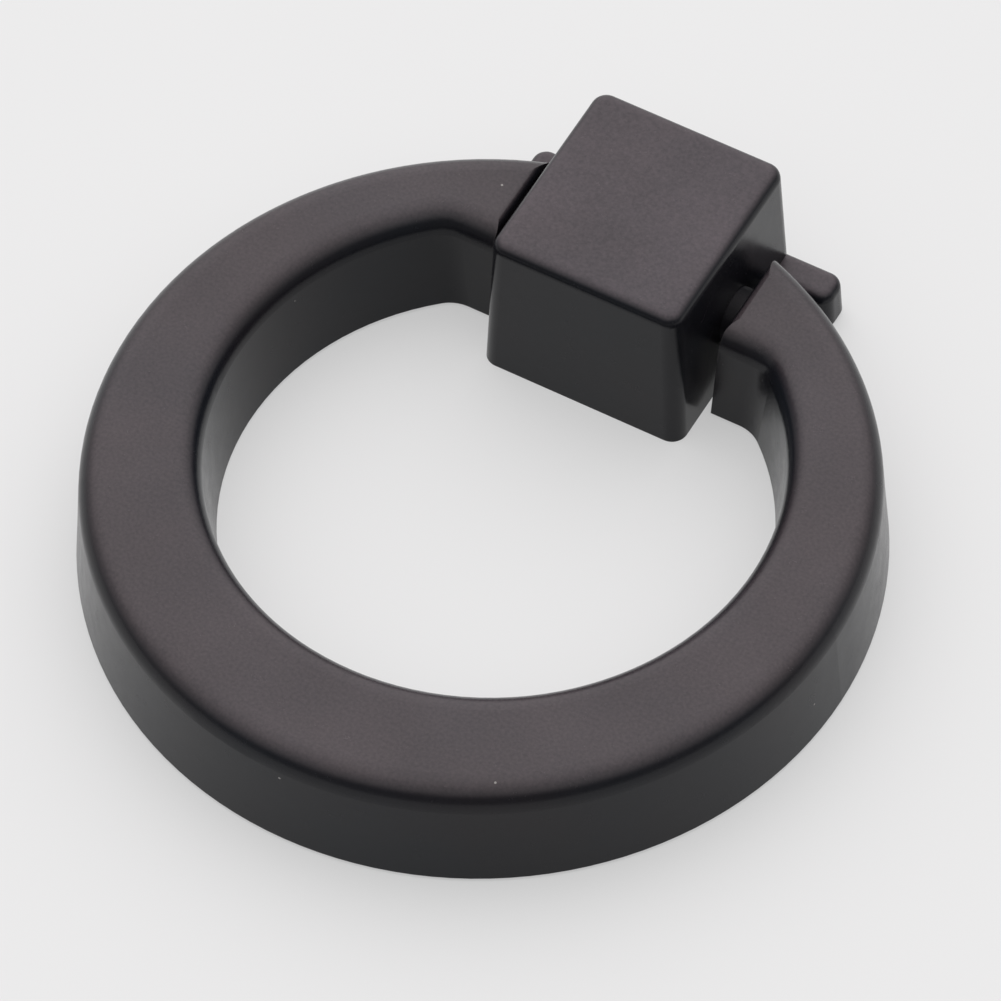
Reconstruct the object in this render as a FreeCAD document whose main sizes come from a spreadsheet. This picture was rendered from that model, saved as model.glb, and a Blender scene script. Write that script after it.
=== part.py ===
import FreeCAD, Part
import Sketcher
from FreeCAD import Vector
import math
import os
import re

# Ring pull handle for a drawer or a cupboard door
# The back faces lie on the door at Z = 0, and +Z points away from the door.
# X runs along the hinge. +Y points up the door, from the ring towards the block's far side.
# The origin is on the axis of the mounting screw, at the back face of the block.

doc = FreeCAD.newDocument("ring_pull_handle")
sheet = doc.addObject("Spreadsheet::Sheet", "Sizes")

# Lengths in millimetres, angles in degrees
sizes = [
    # Ring: a drafted casting, its opening set a little towards the block
    ("ring_radius", 31.0),              # outside, at the back
    ("ring_thickness", 10.0),
    ("ring_draft", 4.15),               # of the outside wall
    ("ring_band", 9.7),                 # how far the opening is smaller in radius, at the back
    ("opening_offset", 2.05),           # from the ring's centre towards the block
    ("opening_draft", 5.8),
    ("ring_front_round", 2.2),
    ("ring_back_bevel", 0.3),
    # Ears: the two ends of the ring beside the block, with a straight inner wall
    ("ear_back", 6.5),                  # from the hinge axis to the ring's outside, at the back
    ("ear_front", 5.6),                 # from the hinge axis to the straight wall, at the back
    ("ear_draft", 3.0),
    ("ear_root", 1.2),                  # how far their inner part is set into the ring
    ("ear_corner_round", 3.0),          # where the straight wall runs into the opening
    ("ear_gap", 0.7),                   # from an ear's end to the block, at the door
    ("ear_end_round", 0.6),             # where an ear's end meets the front
    ("ear_lift", 0.3),                  # clearance from the door, so that the ears can turn
    ("ear_ramp", 5.0),                  # length over which the back rises by that much
    # Hinge
    ("hinge_height", 5.6),              # axis above the door
    ("trunnion_radius", 2.5),
    ("trunnion_reach", 4.2),            # into the block, at the axis
    ("trunnion_chamfer", 0.4),
    ("hinge_clearance", 0.1),           # round a trunnion in its notch
    ("end_play", 0.4),                  # between a trunnion's tip and the notch's end
    # Block
    ("block_width", 17.5),              # at the back
    ("block_length", 18.8),             # at the back
    ("block_height", 14.3),
    ("block_draft", 2.4),
    ("block_corner_round", 1.3),
    ("block_front_round", 1.0),
    # Foot: a bar across the back of the block that ends in two lugs
    ("foot_length", 27.4),
    ("foot_height", 3.95),
    ("foot_near", 5.55),                # from the hinge axis to the foot's near side
    ("foot_far", 8.9),                  # from the hinge axis to its far side
    ("foot_corner_round", 1.2),
    ("foot_front_round", 0.9),
    ("foot_back_bevel", 0.35),
    # Mounting thread in the middle of the block: M4, shown as its tapping hole
    ("thread_radius", 1.65),
    ("thread_depth", 11.0),
    ("thread_lead", 0.45),              # countersink at its mouth
    ("drill_angle", 59.0),              # between the axis and the drill's cutting edge
    ("boss_radius", 3.4),
    # Retaining plate, let into the back of the block round the boss
    ("plate_thickness", 1.2),
    ("plate_clearance", 0.15),
    ("plate_band", 2.1),                # width of the plate's ring round the boss
    ("plate_inset", 0.35),              # from the plate's arms to the sides of the block
    ("plate_lobe_radius", 2.2),
    # Plate screws: M2, countersunk, with a cross slot
    ("screw_spacing", 12.2),
    ("screw_radius", 1.0),
    ("screw_length", 5.0),
    ("screw_head_radius", 1.9),
    ("screw_head_height", 1.0),
    ("screw_clearance", 0.05),
    ("screw_tip", 0.3),                 # chamfer at its end
    ("slot_width", 0.45),
    ("slot_length", 2.2),
    ("slot_depth", 0.7),
]

# Sizes that follow from the others
derived = [
    ("ring_drop", "=ring_radius - ear_back"),        # from the hinge axis to the ring's centre
    ("opening_radius", "=ring_radius - ring_band"),  # at the back
    # The plate closes the notches just below the trunnions
    ("plate_front", "=hinge_height - trunnion_radius - hinge_clearance"),
    ("plate_back", "=plate_front - plate_thickness"),
    ("notch_radius", "=trunnion_radius + hinge_clearance"),
    ("axis_half_width", "=block_width / 2 - hinge_height * tan(block_draft * 1deg)"),
    ("trunnion_tip", "=axis_half_width - trunnion_reach"),
    ("notch_end", "=trunnion_tip - end_play"),
    ("ear_end", "=block_width / 2 + ear_gap"),
    ("swing_radius", "=hinge_height - ear_lift"),
    # Opening seen from its own centre, at the front, where it is widest
    ("opening_front", "=opening_radius + ring_thickness * tan(opening_draft * 1deg)"),
    ("wall_distance", "=ring_drop - opening_offset - ear_front"),
    # The bar that fills the opening beside the block ends inside the ring on its other sides
    ("ear_bar_half", "=sqrt(opening_front ^ 2 - wall_distance ^ 2) + ear_root"),
    ("ear_bar_rear", "=opening_front + ear_root - wall_distance - ear_front"),
    # Where the wall of an ear's end turns into its front rounding
    ("round_centre", "=ear_end + (ring_thickness - ear_end_round) * tan(ear_draft * 1deg)"
                     " + ear_end_round / cos(ear_draft * 1deg)"),
    ("round_start", "=ring_thickness - ear_end_round * (1 - sin(ear_draft * 1deg))"),
    ("plate_radius", "=boss_radius + plate_clearance + plate_band"),
    ("plate_half_length", "=block_width / 2 - plate_inset"),
    ("screw_hole_radius", "=screw_radius + screw_clearance"),
]
for row, (name, content) in enumerate(sizes + derived, 1):
    sheet.set(f"A{row}", name)
    sheet.set(f"B{row}", str(content))
    sheet.setAlias(f"B{row}", name)
doc.recompute()


def value(expression):
    return float(sheet.evalExpression(expression))


def bound(expression):
    # Every size has an underscore in its name, and no function has
    return re.sub(r"[a-z]+(?:_[a-z]+)+", r"Sizes.\g<0>", expression)


def new_body(label):
    body = doc.addObject("PartDesign::Body", label)
    body.Label = label
    return body


def new_sketch(body, name, role, offset=None):
    sketch = body.newObject("Sketcher::SketchObject", name)
    plane = next(f for f in body.Origin.OriginFeatures if f.Role == role)
    sketch.AttachmentSupport = [(plane, "")]
    sketch.MapMode = "FlatFace"
    if offset:
        sketch.setExpression("AttachmentOffset.Base.z", bound(offset))
    return sketch


def constrain(sketch, kind, expression, *points):
    index = sketch.addConstraint(Sketcher.Constraint(kind, *points, value(expression)))
    name = f"{kind}_{index}"
    sketch.renameConstraint(index, name)
    sketch.setExpression(f"Constraints.{name}", bound(expression))


def draw_outline(sketch, points, arcs=None):
    # A closed outline through points given as pairs of expressions. A side that is an arc has its
    # centre in arcs, as a pair of expressions, and runs the short way or half a turn to the left.
    arcs = arcs or {}
    first = sketch.GeometryCount
    count = len(points)
    corners = [Vector(value(x), value(y), 0) for x, y in points]
    turned_back = set()
    for i in range(count):
        start, end = corners[i], corners[(i + 1) % count]
        if i not in arcs:
            sketch.addGeometry(Part.LineSegment(start, end), False)
            continue
        centre = Vector(value(arcs[i][0]), value(arcs[i][1]), 0)
        # An arc of a sketch always runs to the left, so one that turns right is drawn backwards
        if (start - centre).cross(end - centre).z < -1e-6:
            turned_back.add(i)
            start, end = end, start
        low, high = (math.atan2(p.y - centre.y, p.x - centre.x) for p in (start, end))
        circle = Part.Circle(centre, Vector(0, 0, 1), (start - centre).Length)
        high += 2 * math.pi if high < low else 0
        sketch.addGeometry(Part.ArcOfCircle(circle, low, high), False)
    for i in range(count):
        following = (i + 1) % count
        end = 1 if i in turned_back else 2
        start = 2 if following in turned_back else 1
        sketch.addConstraint(
            Sketcher.Constraint("Coincident", first + i, end, first + following, start))
    for i, (x, y) in enumerate(points):
        start = 2 if i in turned_back else 1
        constrain(sketch, "DistanceX", x, -1, 1, first + i, start)
        constrain(sketch, "DistanceY", y, -1, 1, first + i, start)
    for i, (x, y) in arcs.items():
        # Its two ends leave an arc's centre free along one line only
        across = corners[(i + 1) % count] - corners[i]
        if abs(across.x) > abs(across.y):
            constrain(sketch, "DistanceY", y, -1, 1, first + i, 3)
        else:
            constrain(sketch, "DistanceX", x, -1, 1, first + i, 3)


def draw_circle(sketch, x, y, radius):
    centre = Vector(value(x), value(y), 0)
    curve = sketch.addGeometry(Part.Circle(centre, Vector(0, 0, 1), value(radius)), False)
    constrain(sketch, "DistanceX", x, -1, 1, curve, 3)
    constrain(sketch, "DistanceY", y, -1, 1, curve, 3)
    constrain(sketch, "Radius", radius, curve)


def draw_box(sketch, x_low, y_low, x_high, y_high):
    draw_outline(sketch, [(x_low, y_low), (x_high, y_low), (x_high, y_high), (x_low, y_high)])


def extrude(body, kind, name, sketch, length, taper=None, **settings):
    made = body.newObject(f"PartDesign::{kind}", name)
    made.Profile = sketch
    made.setExpression("Length", bound(length))
    if taper:
        made.setExpression("TaperAngle", bound(taper))
    for key, setting in settings.items():
        setattr(made, key, setting)
    doc.recompute()
    return made


def revolve(body, kind, name, sketch):
    made = body.newObject(f"PartDesign::{kind}", name)
    made.Profile = sketch
    made.ReferenceAxis = (sketch, ["V_Axis"])
    made.Angle = 360.0
    doc.recompute()
    return made


def mirror(body, name, original, role):
    made = body.newObject("PartDesign::Mirrored", name)
    made.Originals = [original]
    plane = next(f for f in body.Origin.OriginFeatures if f.Role == role)
    made.MirrorPlane = (plane, [""])
    body.Tip = made
    doc.recompute()
    return made


def dress(body, kind, name, size, wanted):
    # A fillet or a chamfer on every edge of the body that the test picks
    base = body.Tip
    edges = [f"Edge{i}" for i, edge in enumerate(base.Shape.Edges, 1) if wanted(edge)]
    made = body.newObject(f"PartDesign::{kind}", name)
    made.Base = (base, edges)
    made.setExpression("Radius" if kind == "Fillet" else "Size", bound(size))
    doc.recompute()
    return made


def lean(body, name, angle, wanted):
    # A draft, from the back, on every face of the body that the test picks
    base = body.Tip
    faces = [f"Face{i}" for i, face in enumerate(base.Shape.Faces, 1) if wanted(face)]
    made = body.newObject("PartDesign::Draft", name)
    made.Base = (base, faces)
    made.NeutralPlane = (next(f for f in body.Origin.OriginFeatures if f.Role == "XY_Plane"), [""])
    made.setExpression("Angle", bound(angle))
    doc.recompute()
    return made


def is_wall(face):
    box = face.BoundBox
    return box.ZLength > 0.5 and min(box.XLength, box.YLength) < 1e-4


def lies_at(edge, height):
    box = edge.BoundBox
    return abs(box.ZMin - height) < 1e-4 and abs(box.ZMax - height) < 1e-4


def reaches(shape, distance):
    # Whether it goes further from the middle, along the hinge, than the distance
    return max(abs(shape.BoundBox.XMin), abs(shape.BoundBox.XMax)) > distance


def upright(edge):
    box = edge.BoundBox
    return box.ZLength > 1.5 * max(box.XLength, box.YLength)


# Ring
# A round casting whose outside and opening both narrow away from the door. A straight wall closes
# the opening beside the hinge, and the gap for the block leaves an ear with a trunnion each side.
ring = new_body("ring")

profile = new_sketch(ring, "ring_profile", "XZ_Plane", "ring_drop")
draw_outline(profile, [
    ("0", "0"),
    ("ring_radius", "0"),
    ("ring_radius - ring_thickness * tan(ring_draft * 1deg)", "ring_thickness"),
    ("0", "ring_thickness"),
])
revolve(ring, "Revolution", "ring_disc", profile)

profile = new_sketch(ring, "opening_profile", "XY_Plane")
draw_circle(profile, "0", "opening_offset - ring_drop", "opening_radius")
extrude(ring, "Pocket", "opening", profile, "ring_thickness", "opening_draft", Reversed=True)

profile = new_sketch(ring, "ear_profile", "XY_Plane")
draw_outline(profile, [
    ("-ear_bar_half", "-ear_front"),
    ("ear_bar_half", "-ear_front"),
    ("block_width / 2", "ear_bar_rear"),
    ("-block_width / 2", "ear_bar_rear"),
])
extrude(ring, "Pad", "ear_bar", profile, "ring_thickness", "-ear_draft")

wall = -value("ear_front")
dress(ring, "Fillet", "ear_corner_rounds", "ear_corner_round",
      lambda edge: upright(edge) and edge.BoundBox.YMin > wall - 1e-3
      and edge.BoundBox.YMax < 0)

dress(ring, "Fillet", "ring_front_rounds", "ring_front_round",
      lambda edge: lies_at(edge, value("ring_thickness")))
dress(ring, "Chamfer", "ring_back_bevels", "ring_back_bevel", lambda edge: lies_at(edge, 0))

# The gap's walls lean away from the block and end in a small rounding at the front
profile = new_sketch(ring, "gap_profile", "XZ_Plane")
draw_outline(profile, [
    ("-ear_end", "0"),
    ("ear_end", "0"),
    ("round_centre - ear_end_round * cos(ear_draft * 1deg)", "round_start"),
    ("round_centre", "ring_thickness"),
    ("-round_centre", "ring_thickness"),
    ("ear_end_round * cos(ear_draft * 1deg) - round_centre", "round_start"),
], arcs={
    2: ("round_centre", "ring_thickness - ear_end_round"),
    4: ("-round_centre", "ring_thickness - ear_end_round"),
})
extrude(ring, "Pocket", "block_gap", profile, "2 * (ring_radius - ring_drop + ear_front)",
        Midplane=True)

# Behind the axis the back is rounded about the axis, so that the ears clear the door as they turn
profile = new_sketch(ring, "relief_profile", "YZ_Plane")
draw_outline(profile, [
    ("-ear_ramp", "0"),
    ("-ear_ramp", "-ear_lift"),
    ("ring_radius - ring_drop + swing_radius", "-ear_lift"),
    ("ring_radius - ring_drop + swing_radius", "hinge_height"),
    ("swing_radius", "hinge_height"),
    ("0", "ear_lift"),
], arcs={4: ("0", "hinge_height")})
extrude(ring, "Pocket", "ear_relief", profile, "2 * ring_radius", Midplane=True)

profile = new_sketch(ring, "trunnion_profile", "YZ_Plane", "trunnion_tip")
draw_circle(profile, "0", "hinge_height", "trunnion_radius")
trunnion = extrude(ring, "Pad", "trunnion", profile, "ear_end - trunnion_tip + trunnion_radius")
mirror(ring, "trunnions", trunnion, "YZ_Plane")
dress(ring, "Chamfer", "trunnion_chamfers", "trunnion_chamfer",
      lambda edge: abs(abs(edge.BoundBox.XMin) - value("trunnion_tip")) < 1e-4
      and edge.BoundBox.XLength < 1e-4)

# Block
# A casting with the foot across its back. Notches in its two sides take the trunnions from
# behind, and a recess round the threaded boss takes the plate that closes them.
block = new_body("block")

profile = new_sketch(block, "block_profile", "XY_Plane")
draw_box(profile, "-block_width / 2", "-block_length / 2", "block_width / 2", "block_length / 2")
extrude(block, "Pad", "block_solid", profile, "block_height")
lean(block, "block_walls", "block_draft", is_wall)
dress(block, "Fillet", "block_corners", "block_corner_round", upright)
dress(block, "Fillet", "block_front_edges", "block_front_round",
      lambda edge: lies_at(edge, value("block_height")))

profile = new_sketch(block, "foot_profile", "XY_Plane")
draw_box(profile, "-foot_length / 2", "foot_near", "foot_length / 2", "foot_far")
extrude(block, "Pad", "foot", profile, "foot_height")
outside = value("block_width / 2 + foot_corner_round / 2")
lean(block, "foot_walls", "block_draft", lambda face: is_wall(face) and reaches(face, outside))
dress(block, "Fillet", "foot_corners", "foot_corner_round",
      lambda edge: upright(edge) and reaches(edge, outside))
dress(block, "Fillet", "foot_front_edges", "foot_front_round",
      lambda edge: lies_at(edge, value("foot_height")) and reaches(edge, outside))
dress(block, "Chamfer", "foot_back_bevels", "foot_back_bevel",
      lambda edge: lies_at(edge, 0) and reaches(edge, outside))

profile = new_sketch(block, "notch_profile", "YZ_Plane", "notch_end")
draw_outline(profile, [
    ("-notch_radius", "0"),
    ("notch_radius", "0"),
    ("notch_radius", "hinge_height"),
    ("-notch_radius", "hinge_height"),
], arcs={2: ("0", "hinge_height")})
notch = extrude(block, "Pocket", "notch", profile, "block_width", Reversed=True)
mirror(block, "notches", notch, "YZ_Plane")

profile = new_sketch(block, "recess_profile", "XY_Plane")
draw_circle(profile, "0", "0", "plate_radius + plate_clearance")
extrude(block, "Pocket", "plate_recess", profile, "plate_front", Reversed=True)
profile = new_sketch(block, "lobe_recess_profile", "XY_Plane")
draw_circle(profile, "0", "screw_spacing / 2", "plate_lobe_radius + plate_clearance")
recess = extrude(block, "Pocket", "lobe_recess", profile, "plate_front", Reversed=True)
mirror(block, "lobe_recesses", recess, "XZ_Plane")
profile = new_sketch(block, "boss_profile", "XY_Plane")
draw_circle(profile, "0", "0", "boss_radius")
extrude(block, "Pad", "boss", profile, "plate_front + plate_clearance")

profile = new_sketch(block, "thread_profile", "XZ_Plane")
draw_outline(profile, [
    ("0", "0"),
    ("thread_radius + thread_lead", "0"),
    ("thread_radius", "thread_lead"),
    ("thread_radius", "thread_depth"),
    ("0", "thread_depth + thread_radius / tan(drill_angle * 1deg)"),
])
revolve(block, "Groove", "mounting_thread", profile)

profile = new_sketch(block, "screw_hole_profile", "XY_Plane", "plate_front")
draw_circle(profile, "0", "screw_spacing / 2", "screw_hole_radius")
hole = extrude(block, "Pocket", "screw_hole", profile, "screw_length", Reversed=True)
mirror(block, "screw_holes", hole, "XZ_Plane")

# Retaining plate
plate = new_body("retaining_plate")

profile = new_sketch(plate, "plate_disc_profile", "XY_Plane", "plate_back")
draw_circle(profile, "0", "0", "plate_radius")
extrude(plate, "Pad", "plate_disc", profile, "plate_thickness")
profile = new_sketch(plate, "arm_profile", "XY_Plane", "plate_back")
draw_box(profile, "-plate_half_length", "-notch_radius + plate_clearance",
         "plate_half_length", "notch_radius - plate_clearance")
extrude(plate, "Pad", "plate_arms", profile, "plate_thickness")
profile = new_sketch(plate, "lobe_profile", "XY_Plane", "plate_back")
draw_circle(profile, "0", "screw_spacing / 2", "plate_lobe_radius")
lobe = extrude(plate, "Pad", "plate_lobe", profile, "plate_thickness")
mirror(plate, "plate_lobes", lobe, "XZ_Plane")
profile = new_sketch(plate, "boss_hole_profile", "XY_Plane", "plate_back")
draw_circle(profile, "0", "0", "boss_radius + plate_clearance")
extrude(plate, "Pocket", "boss_hole", profile, "plate_thickness", Reversed=True)
profile = new_sketch(plate, "sink_profile", "XY_Plane", "plate_back")
draw_circle(profile, "0", "screw_spacing / 2", "screw_hole_radius")
hole = extrude(plate, "Pocket", "plate_hole", profile, "plate_thickness", Reversed=True)
mirror(plate, "plate_holes", hole, "XZ_Plane")
dress(plate, "Chamfer", "countersinks", "screw_head_height",
      lambda edge: lies_at(edge, value("plate_back")) and edge.Curve.TypeId == "Part::GeomCircle"
      and abs(edge.Curve.Radius - value("screw_hole_radius")) < 1e-6)

# Plate screws
for label, side in (("plate_screw_upper", 1), ("plate_screw_lower", -1)):
    screw = new_body(label)
    profile = new_sketch(screw, f"{label}_profile", "XZ_Plane")
    draw_outline(profile, [
        ("0", "0"),
        ("screw_head_radius", "0"),
        ("screw_radius", "screw_head_height"),
        ("screw_radius", "screw_length - screw_tip"),
        ("screw_radius - screw_tip", "screw_length"),
        ("0", "screw_length"),
    ])
    revolve(screw, "Revolution", f"{label}_turned", profile)
    for slot, (run, width) in (("slot", ("slot_length", "slot_width")),
                               ("cross", ("slot_width", "slot_length"))):
        profile = new_sketch(screw, f"{label}_{slot}_profile", "XY_Plane")
        draw_box(profile, f"-{run} / 2", f"-{width} / 2", f"{run} / 2", f"{width} / 2")
        extrude(screw, "Pocket", f"{label}_{slot}", profile, "slot_depth", Reversed=True)
    screw.setExpression("Placement.Base.y", bound(f"{side} * screw_spacing / 2"))
    screw.setExpression("Placement.Base.z", bound("plate_back"))

doc.recompute()
failed = [o.Name for o in doc.Objects if "Invalid" in o.State or "Error" in o.State]
assert not failed, f"failed: {failed}"

bodies = [o for o in doc.Objects if o.TypeId == "PartDesign::Body"]
os.makedirs("parts", exist_ok=True)
for body in bodies:
    shape = body.Shape
    assert not shape.isNull() and shape.isValid(), body.Label
    assert len(shape.Solids) == 1, body.Label
    shape.exportStep(f"parts/{body.Label}.step")
    print(f"{body.Label:20} {shape.Volume:10.1f} mm3")
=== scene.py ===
import math
import bpy
from mathutils import Matrix, Vector


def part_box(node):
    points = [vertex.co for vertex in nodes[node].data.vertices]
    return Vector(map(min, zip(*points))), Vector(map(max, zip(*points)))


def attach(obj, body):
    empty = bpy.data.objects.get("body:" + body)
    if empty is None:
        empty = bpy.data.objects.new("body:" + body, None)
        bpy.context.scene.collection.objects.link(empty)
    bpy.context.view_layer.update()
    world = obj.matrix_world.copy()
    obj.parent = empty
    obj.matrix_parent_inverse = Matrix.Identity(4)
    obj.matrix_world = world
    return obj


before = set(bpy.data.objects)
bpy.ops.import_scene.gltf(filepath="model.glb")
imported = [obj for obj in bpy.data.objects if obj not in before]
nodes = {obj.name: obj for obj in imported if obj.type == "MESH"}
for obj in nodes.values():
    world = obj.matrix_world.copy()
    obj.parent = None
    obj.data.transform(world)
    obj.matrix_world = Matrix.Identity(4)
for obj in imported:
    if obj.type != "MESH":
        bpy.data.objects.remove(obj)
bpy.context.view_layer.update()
scene = bpy.context.scene
mm = 0.001


# Camera: the photograph's angle, found from the ring's ellipses and the block's edges

camera = {
    "azimuth": 30.70,           # degrees, from straight in front towards +X
    "elevation": 53.96,
    "roll": -1.58,
    "distance": 672.4 * mm,
    "target": Vector((-0.742 * mm, -20.43 * mm, 0)),
    "lens": 316.1,
    "sensorWidth": 36,
    "clipStart": 10 * mm,
    "clipEnd": 5,
}


def addCamera():
    a, e, roll = (math.radians(camera[key]) for key in ("azimuth", "elevation", "roll"))
    back = Vector((math.sin(a) * math.cos(e), -math.cos(a) * math.cos(e), math.sin(e)))
    right = Vector((math.cos(a), math.sin(a), 0))
    up = back.cross(right)
    tiltedRight = right * math.cos(roll) + up * math.sin(roll)
    tiltedUp = up * math.cos(roll) - right * math.sin(roll)
    data = bpy.data.cameras.new("photoCamera")
    data.lens = camera["lens"]
    data.sensor_width = camera["sensorWidth"]
    data.clip_start = camera["clipStart"]
    data.clip_end = camera["clipEnd"]
    cam = bpy.data.objects.new("photoCamera", data)
    turn = Matrix((tiltedRight, tiltedUp, back)).transposed().to_4x4()
    cam.matrix_world = Matrix.Translation(camera["target"] + back * camera["distance"]) @ turn
    scene.collection.objects.link(cam)
    scene.camera = cam


addCamera()
print("camera set")


# Shader nodes: short ways to add one, to set its inputs or link them, and to start a material

def feed(tree, socket, source):
    # Another node's output is linked, and a number or a colour is set
    if isinstance(source, bpy.types.NodeSocket):
        tree.links.new(source, socket)
    else:
        socket.default_value = source


def addNode(tree, kind, inputs=None, **settings):
    node = tree.nodes.new(kind)
    for name, value in settings.items():
        setattr(node, name, value)
    for label, source in (inputs or {}).items():
        feed(tree, node.inputs[label], source)
    return node


def mathNode(tree, operation, *sources, clamp=False):
    inputs = dict(enumerate(sources))
    return addNode(tree, "ShaderNodeMath", inputs, operation=operation, use_clamp=clamp).outputs[0]


def vectorNode(tree, operation, *sources):
    inputs = dict(enumerate(sources))
    return addNode(tree, "ShaderNodeVectorMath", inputs, operation=operation).outputs


def rangeNode(tree, value, reach, results=(0, 1), smooth=False):
    inputs = dict(zip(("From Min", "From Max", "To Min", "To Max"), (*reach, *results)))
    curve = "SMOOTHSTEP" if smooth else "LINEAR"
    node = addNode(tree, "ShaderNodeMapRange", {"Value": value, **inputs}, interpolation_type=curve)
    return node.outputs["Result"]


def newMaterial(name):
    material = bpy.data.materials.new(name)
    material.use_nodes = True
    tree = material.node_tree
    return material, tree, tree.nodes["Principled BSDF"]


# Studio: a pale floor that reads the same all over, and soft light from above and behind

studio = {
    "floorSize": 3.0,
    "floorDrop": 0.02 * mm,     # below the back face, so that the two don't coincide
    "floorColor": (0.595, 0.60, 0.60, 1),
    "floorRoughness": 0.6,
    "backdropColor": (0.87, 0.87, 0.87, 1),
    "backdropShare": 0.48,      # how much of the backdrop's even tone the floor shows
    "glowLight": 1.05,          # more of it where the flat front faces mirror the room
    "glowColor": (1.0, 0.94, 0.96, 1),
    "glowEdges": (0.45, 0.97),  # cosines of its outer and inner reach
    "skyColor": (1, 1, 1, 1),
    "skyLight": 1.105,
    "lowLight": 0.18,
    "backEnds": -0.4,           # reach of the fade's change from back to front
    "frontStarts": 0.8,
    "fadeMiddle": (0.15, 0.64), # height of the fade, behind and in front
    "fadeHalf": (0.60, 0.13),
}


def addFloor():
    half = studio["floorSize"] / 2
    corners = [(-half, -half, 0), (half, -half, 0), (half, half, 0), (-half, half, 0)]
    mesh = bpy.data.meshes.new("floor")
    mesh.from_pydata(corners, [], [(0, 1, 2, 3)])
    floor = bpy.data.objects.new("floor", mesh)
    floor.location.z = -studio["floorDrop"]
    scene.collection.objects.link(floor)
    material, tree, shader = newMaterial("paleFloor")
    feed(tree, shader.inputs["Base Color"], studio["floorColor"])
    feed(tree, shader.inputs["Roughness"], studio["floorRoughness"])
    backdrop = addNode(tree, "ShaderNodeEmission", {"Color": studio["backdropColor"]})
    path = addNode(tree, "ShaderNodeLightPath").outputs
    seen = mathNode(tree, "MAXIMUM", path["Is Camera Ray"], path["Is Glossy Ray"])
    seen = mathNode(tree, "MAXIMUM", seen, path["Is Transmission Ray"])
    share = mathNode(tree, "MULTIPLY", seen, studio["backdropShare"])
    mix = addNode(tree, "ShaderNodeMixShader",
                  {"Fac": share, 1: shader.outputs[0], 2: backdrop.outputs[0]})
    feed(tree, tree.nodes["Material Output"].inputs["Surface"], mix.outputs[0])
    mesh.materials.append(material)


def addSky():
    # A pale room that fades towards the floor: slowly behind and beside the object, and early
    # and quickly on the camera's side
    world = bpy.data.worlds.new("studio")
    scene.world = world
    world.use_nodes = True
    tree = world.node_tree
    a, e = math.radians(camera["azimuth"]), math.radians(camera["elevation"])
    direction = addNode(tree, "ShaderNodeTexCoord").outputs["Generated"]
    height = addNode(tree, "ShaderNodeSeparateXYZ", {0: direction}).outputs["Z"]
    towards = vectorNode(tree, "DOT_PRODUCT", direction, (math.sin(a), -math.cos(a), 0))["Value"]
    change = (studio["backEnds"], studio["frontStarts"])
    backMiddle, frontMiddle = studio["fadeMiddle"]
    backHalf, frontHalf = studio["fadeHalf"]
    low = rangeNode(tree, towards, change, (backMiddle - backHalf, frontMiddle - frontHalf))
    high = rangeNode(tree, towards, change, (backMiddle + backHalf, frontMiddle + frontHalf))
    light = rangeNode(tree, height, (low, high), (studio["lowLight"], studio["skyLight"]))
    sky = tree.nodes["Background"]
    feed(tree, sky.inputs["Color"], studio["skyColor"])
    feed(tree, sky.inputs["Strength"], light)
    mirrored = (-math.sin(a) * math.cos(e), math.cos(a) * math.cos(e), math.sin(e))
    aim = vectorNode(tree, "DOT_PRODUCT", direction, mirrored)["Value"]
    strength = rangeNode(tree, aim, studio["glowEdges"], (0, studio["glowLight"]), smooth=True)
    glow = addNode(tree, "ShaderNodeBackground", {"Color": studio["glowColor"], "Strength": strength})
    both = addNode(tree, "ShaderNodeAddShader", {0: sky.outputs[0], 1: glow.outputs[0]})
    feed(tree, tree.nodes["World Output"].inputs["Surface"], both.outputs[0])


addFloor()
addSky()
scene.view_settings.view_transform = "Standard"
print("studio set")


# Shared effects: node groups, each placed in a material with that material's own values

effects = {
    "waveDetail": 1.0,
    "grainDetail": 3.0,
    "cloudDetail": 4.0,
    "dustDetail": 2.0,
    "noiseMiddle": 0.5,
    "bevelSamples": 6,
    "turnGain": 8.0,            # how soon a turn of the surface counts as an edge
    "patchGain": 5.0,           # how hard the outlines of the worn patches are
    "patchShift": -2.2,
    "veilFacing": (0.60, 0.95), # how squarely a face looks away from the door, for the veil of dust and painted top light
    "lineSwing": 0.16,          # tone along the brushed lines
    "lineFloor": 0.92,
    "hueReach": (0.35, 0.65),   # the part of a noise's range that is put to use
    "heightReach": (0.3, 0.7),
}


def newGroup(name, given, put):
    # Inputs come with their usual values, and outputs are plain values
    group = bpy.data.node_groups.new(name, "ShaderNodeTree")
    for label, value in given.items():
        kind = "NodeSocketVector" if isinstance(value, tuple) else "NodeSocketFloat"
        socket = group.interface.new_socket(label, in_out="INPUT", socket_type=kind)
        socket.default_value = value
    for label in put:
        group.interface.new_socket(label, in_out="OUTPUT", socket_type="NodeSocketFloat")
    return group, addNode(group, "NodeGroupInput").outputs, addNode(group, "NodeGroupOutput").inputs


def coordinates(tree):
    return addNode(tree, "ShaderNodeTexCoord").outputs


def splitVector(tree, vector):
    return addNode(tree, "ShaderNodeSeparateXYZ", {0: vector}).outputs


def noise(tree, place, scale, detail):
    inputs = {"Vector": place, "Scale": scale, "Detail": effects[detail]}
    return addNode(tree, "ShaderNodeTexNoise", inputs).outputs


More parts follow.
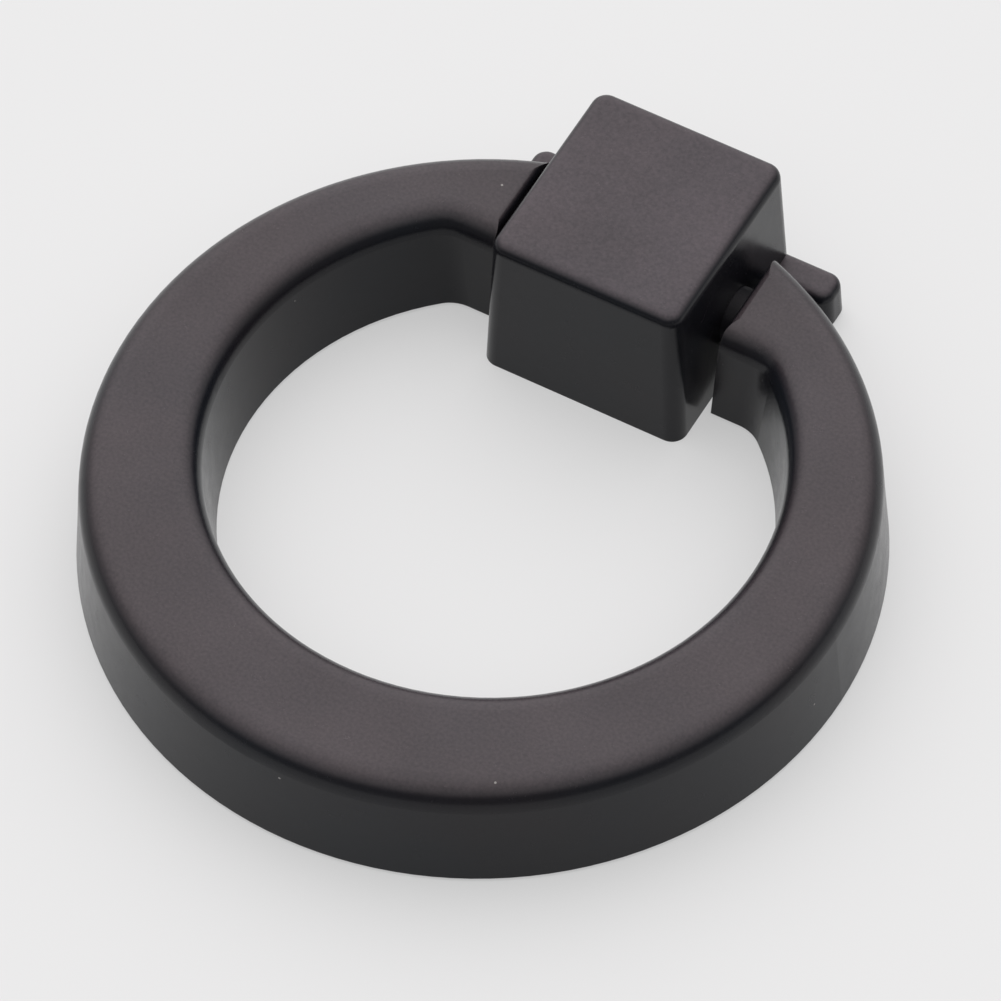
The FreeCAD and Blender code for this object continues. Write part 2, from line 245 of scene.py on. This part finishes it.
def makeCoatGrain():
    # The skin of a sprayed or powdered coat: slow waves, a fine grain and cloudy tone
    group, given, put = newGroup("coatGrain", {
        "Wave Scale": 900.0, "Grain Scale": 5000.0, "Cloud Scale": 60.0, "Wave Amount": 0.7,
        "Cloud Amount": 0.1}, ("Height", "Tone", "Hue"))
    place = coordinates(group)["Object"]
    wave = noise(group, place, given["Wave Scale"], "waveDetail")
    grain = noise(group, place, given["Grain Scale"], "grainDetail")
    cloud = noise(group, place, given["Cloud Scale"], "cloudDetail")
    height = addNode(group, "ShaderNodeMix",
                     {"Factor": given["Wave Amount"], "A": grain["Fac"], "B": wave["Fac"]})
    slow = mathNode(group, "SUBTRACT", cloud["Fac"], effects["noiseMiddle"])
    fine = mathNode(group, "SUBTRACT", grain["Fac"], effects["noiseMiddle"])
    both = mathNode(group, "ADD", slow, fine)
    tone = mathNode(group, "MULTIPLY_ADD", both, given["Cloud Amount"], 1.0)
    hue = addNode(group, "ShaderNodeSeparateColor", {"Color": cloud["Color"]})
    feed(group, put["Height"], height.outputs["Result"])
    feed(group, put["Tone"], tone)
    feed(group, put["Hue"], hue.outputs["Green"])
    return group


def makeEdgeWear():
    # Where the surface turns within the given reach, broken up so that it comes and goes
    group, given, put = newGroup("edgeWear", {
        "Reach": 0.3 * mm, "Amount": 1.0, "Patch Scale": 700.0}, ("Mask",))
    bevel = addNode(group, "ShaderNodeBevel", {"Radius": given["Reach"]}, samples=effects["bevelSamples"])
    normal = addNode(group, "ShaderNodeNewGeometry").outputs["Normal"]
    alike = vectorNode(group, "DOT_PRODUCT", bevel.outputs["Normal"], normal)["Value"]
    turn = mathNode(group, "SUBTRACT", 1.0, alike)
    patch = noise(group, coordinates(group)["Object"], given["Patch Scale"], "cloudDetail")
    patchy = mathNode(group, "MULTIPLY_ADD", patch["Fac"], effects["patchGain"], effects["patchShift"],
                      clamp=True)
    strong = mathNode(group, "MULTIPLY", turn, effects["turnGain"], clamp=True)
    worn = mathNode(group, "MULTIPLY", strong, patchy)
    feed(group, put["Mask"], mathNode(group, "MULTIPLY", worn, given["Amount"], clamp=True))
    return group


def makeDustSpecks():
    # Few small specks: cells of which only a share holds one
    group, given, put = newGroup("dustSpecks", {
        "Scale": 400.0, "Share": 0.05, "Size": 0.1}, ("Mask",))
    cells = addNode(group, "ShaderNodeTexVoronoi",
                    {"Vector": coordinates(group)["Object"], "Scale": given["Scale"]}).outputs
    chance = addNode(group, "ShaderNodeSeparateColor", {"Color": cells["Color"]}).outputs
    held = mathNode(group, "LESS_THAN", chance["Red"], given["Share"])
    width = mathNode(group, "MULTIPLY", given["Size"], chance["Green"])
    near = mathNode(group, "LESS_THAN", cells["Distance"], width)
    feed(group, put["Mask"], mathNode(group, "MULTIPLY", held, near))
    return group


def makeDustAndTopLight():
    # A thin veil on whatever faces away from the door, partly dust and partly painted top light, broken
    # up by clouds and grain; it fades in between two heights above the door
    group, given, put = newGroup("dustAndTopLight", {
        "Cloud Scale": 60.0, "Grain Scale": 3000.0, "Amount": 0.1, "None Below": -1 * mm,
        "Full Above": 0.0}, ("Mask",))
    coords = coordinates(group)
    looks = splitVector(group, coords["Normal"])["Z"]
    height = splitVector(group, coords["Object"])["Z"]
    facing = rangeNode(group, looks, effects["veilFacing"], smooth=True)
    above = rangeNode(group, height, (given["None Below"], given["Full Above"]), smooth=True)
    exposed = mathNode(group, "MULTIPLY", facing, above)
    cloud = noise(group, coords["Object"], given["Cloud Scale"], "cloudDetail")
    grain = noise(group, coords["Object"], given["Grain Scale"], "dustDetail")
    both = mathNode(group, "ADD", cloud["Fac"], grain["Fac"])
    veil = mathNode(group, "MULTIPLY", both, given["Amount"])
    feed(group, put["Mask"], mathNode(group, "MULTIPLY", veil, exposed, clamp=True))
    return group


def makeStretchedGrain():
    # Fine lines along X, as rolled or brushed sheet has
    group, given, put = newGroup("stretchedGrain", {
        "Line Scale": 6000.0, "Stretch": 0.03}, ("Height", "Tone"))
    place = splitVector(group, coordinates(group)["Object"])
    along = mathNode(group, "MULTIPLY", place["X"], given["Stretch"])
    stretched = addNode(group, "ShaderNodeCombineXYZ", {"X": along, "Y": place["Y"], "Z": place["Z"]})
    lines = noise(group, stretched.outputs[0], given["Line Scale"], "grainDetail")
    tone = mathNode(group, "MULTIPLY_ADD", lines["Fac"], effects["lineSwing"], effects["lineFloor"])
    feed(group, put["Height"], lines["Fac"])
    feed(group, put["Tone"], tone)
    return group


def makeTurnedRings():
    # Tool marks of a lathe, round an axis along Z at the given place
    group, given, put = newGroup("turnedRings", {
        "Axis": (0, 0, 0), "Ring Scale": 9000.0}, ("Height",))
    place = coordinates(group)["Object"]
    away = vectorNode(group, "SUBTRACT", place, given["Axis"])[0]
    flat = vectorNode(group, "MULTIPLY", away, (1, 1, 0))[0]
    radius = vectorNode(group, "LENGTH", flat)["Value"]
    turned = addNode(group, "ShaderNodeCombineXYZ", {"X": radius, "Z": splitVector(group, place)["Z"]})
    rings = noise(group, turned.outputs[0], given["Ring Scale"], "dustDetail")
    feed(group, put["Height"], rings["Fac"])
    return group


groups = {"coatGrain": makeCoatGrain(), "edgeWear": makeEdgeWear(), "dustSpecks": makeDustSpecks(),
          "dustAndTopLight": makeDustAndTopLight(), "stretchedGrain": makeStretchedGrain(),
          "turnedRings": makeTurnedRings()}
print("shared effects built")


def useGroup(tree, name, values):
    return addNode(tree, "ShaderNodeGroup", values, node_tree=groups[name]).outputs


def mixColor(tree, factor, first, second):
    # A colour mix has its two colours at inputs 6 and 7 and its result at output 2
    inputs = {"Factor": factor, 6: first, 7: second}
    return addNode(tree, "ShaderNodeMix", inputs, data_type="RGBA").outputs[2]


def scaleColor(tree, color, factor):
    node = addNode(tree, "ShaderNodeVectorMath", {0: color, "Scale": factor}, operation="SCALE")
    return node.outputs[0]


def addRelief(tree, shader, height, look):
    # One height makes both the relief and how dull the surface is
    rough = rangeNode(tree, height, effects["heightReach"], look["roughness"])
    relief = addNode(tree, "ShaderNodeBump",
                     {"Strength": 1, "Distance": look["reliefHeight"], "Height": height})
    feed(tree, shader.inputs["Roughness"], rough)
    feed(tree, shader.inputs["Normal"], relief.outputs[0])


# Black coat of the two castings

ringCoat = {
    "color": (0.0100, 0.0090, 0.0112, 1),
    "coolColor": (0.0078, 0.0090, 0.0120, 1),   # the clouds' other hue
    # the veil's colour: a little dust and painted top light, lightening the upward faces
    "dustAndTopLightColor": (0.235, 0.184, 0.196, 1),
    "wornColor": (0.040, 0.037, 0.037, 1),
    "speckColor": (0.24, 0.23, 0.22, 1),
    "ior": 1.33,
    "roughness": (0.20, 0.28),
    "reliefHeight": 0.010 * mm,
    "grain": {"Wave Scale": 700, "Grain Scale": 5200, "Cloud Scale": 70, "Wave Amount": 0.55,
              "Cloud Amount": 0.35},
    "wear": {"Reach": 0.22 * mm, "Amount": 0.8, "Patch Scale": 600},
    "dust": {"Scale": 330, "Share": 0.14, "Size": 0.040},
    "veil": {"Cloud Scale": 90, "Grain Scale": 3600, "Amount": 0.149, "None Below": 8.0 * mm,
             "Full Above": 8.8 * mm},           # so that the trunnions in their shaded gap stay dark, with no painted top light
}
blockCoat = dict(
    ringCoat,
    # the veil's colour here too: a little dust and painted top light, stronger on the block's top
    dustAndTopLightColor=(0.235, 0.184, 0.204, 1),
    grain=dict(ringCoat["grain"], **{"Cloud Scale": 90}),
    dust=dict(ringCoat["dust"], Share=0.08, Scale=380),
    veil={"Cloud Scale": 90, "Grain Scale": 3600, "Amount": 0.188},
)


def addCoat(name, look):
    material, tree, shader = newMaterial(name)
    grain = useGroup(tree, "coatGrain", look["grain"])
    wear = useGroup(tree, "edgeWear", look["wear"])
    dust = useGroup(tree, "dustSpecks", look["dust"])
    veil = useGroup(tree, "dustAndTopLight", look["veil"])
    hue = rangeNode(tree, grain["Hue"], effects["hueReach"])
    color = mixColor(tree, hue, look["color"], look["coolColor"])
    color = scaleColor(tree, color, grain["Tone"])
    # Painted top light: the veil lightens the faces that look away from the door, with a little dust
    color = mixColor(tree, veil["Mask"], color, look["dustAndTopLightColor"])
    color = mixColor(tree, wear["Mask"], color, look["wornColor"])
    color = mixColor(tree, dust["Mask"], color, look["speckColor"])
    feed(tree, shader.inputs["Base Color"], color)
    feed(tree, shader.inputs["IOR"], look["ior"])
    addRelief(tree, shader, grain["Height"], look)
    return material


# Plated steel of the retaining plate and its screws

plateSteel = {
    "color": (0.60, 0.61, 0.60, 1),
    "wornColor": (0.42, 0.41, 0.39, 1),
    "dirtColor": (0.20, 0.19, 0.17, 1),
    "roughness": (0.30, 0.46),
    "reliefHeight": 0.0015 * mm,
    "lines": {"Line Scale": 5200, "Stretch": 0.035},
    "clouds": {"Cloud Scale": 350, "Cloud Amount": 0.25},
    "wear": {"Reach": 0.18 * mm, "Amount": 0.6, "Patch Scale": 800},
    "dust": {"Scale": 650, "Share": 0.10, "Size": 0.25},
}
screwSteel = dict(
    plateSteel,
    color=(0.66, 0.655, 0.63, 1),
    roughness=(0.24, 0.38),
    rings={"Ring Scale": 9000},
)


def addSteel(name, look, axis=None):
    material, tree, shader = newMaterial(name)
    lines = useGroup(tree, "stretchedGrain", look["lines"])
    clouds = useGroup(tree, "coatGrain", look["clouds"])
    wear = useGroup(tree, "edgeWear", look["wear"])
    dust = useGroup(tree, "dustSpecks", look["dust"])
    height = lines["Height"]
    if axis:
        height = useGroup(tree, "turnedRings", dict(look["rings"], Axis=axis))["Height"]
    color = mixColor(tree, wear["Mask"], look["color"], look["wornColor"])
    color = scaleColor(tree, color, clouds["Tone"])
    color = scaleColor(tree, color, lines["Tone"])
    color = mixColor(tree, dust["Mask"], color, look["dirtColor"])
    feed(tree, shader.inputs["Base Color"], color)
    feed(tree, shader.inputs["Metallic"], 1)
    addRelief(tree, shader, height, look)
    return material


def axisOf(node):
    low, high = (Vector(corner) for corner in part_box(node))
    return (low + high) / 2


finishes = {
    "ring": addCoat("ringCoat", ringCoat),
    "block": addCoat("blockCoat", blockCoat),
    "retaining_plate": addSteel("plateSteel", plateSteel),
    "plate_screw_upper": addSteel("upperScrewSteel", screwSteel, axisOf("plate_screw_upper")),
    "plate_screw_lower": addSteel("lowerScrewSteel", screwSteel, axisOf("plate_screw_lower")),
}
for name, material in finishes.items():
    nodes[name].data.materials.clear()
    nodes[name].data.materials.append(material)
print("finishes set")


# Thread in the mounting hole: M4, its ridges standing in the tapping hole

thread = {
    "rootRadius": 1.68 * mm,    # just inside the wall of the hole
    "crestRadius": 1.54 * mm,
    "pitch": 0.7 * mm,
    "start": 0.75 * mm,
    "end": 10.1 * mm,
    "crestWidth": 0.12,         # shares of the pitch
    "rootWidth": 0.62,
    "steps": 40,                # around one turn
    "fade": 1.0,                # turns over which the ridge grows and ends
}


def addThread():
    turns = (thread["end"] - thread["start"]) / thread["pitch"]
    last = round(turns * thread["steps"])
    root = thread["rootRadius"]
    depth = root - thread["crestRadius"]
    foot = thread["pitch"] * thread["rootWidth"] / 2
    tip = thread["pitch"] * thread["crestWidth"] / 2
    verts, faces = [], []
    for step in range(last + 1):
        turn = step / thread["steps"]
        grow = max(0, min(1, turn / thread["fade"], (turns - turn) / thread["fade"]))
        crest = root - depth * grow
        height = thread["start"] + turn * thread["pitch"]
        a = turn * math.tau
        profile = ((root, -foot), (crest, -tip), (crest, tip), (root, foot))
        for radius, shift in profile:
            verts.append((radius * math.cos(a), radius * math.sin(a), height + shift))
        if step:
            here = len(profile) * step
            before = here - len(profile)
            for j in range(len(profile)):
                n = (j + 1) % len(profile)
                faces.append((before + j, before + n, here + n, here + j))
    end = len(verts)
    faces.append((0, 3, 2, 1))
    faces.append((end - 4, end - 3, end - 2, end - 1))
    mesh = bpy.data.meshes.new("threadRidges")
    mesh.from_pydata(verts, [], faces)
    mesh.update()
    ridges = bpy.data.objects.new("threadRidges", mesh)
    scene.collection.objects.link(ridges)
    mesh.materials.append(finishes["block"])
    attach(ridges, "base")


addThread()
print("thread made")
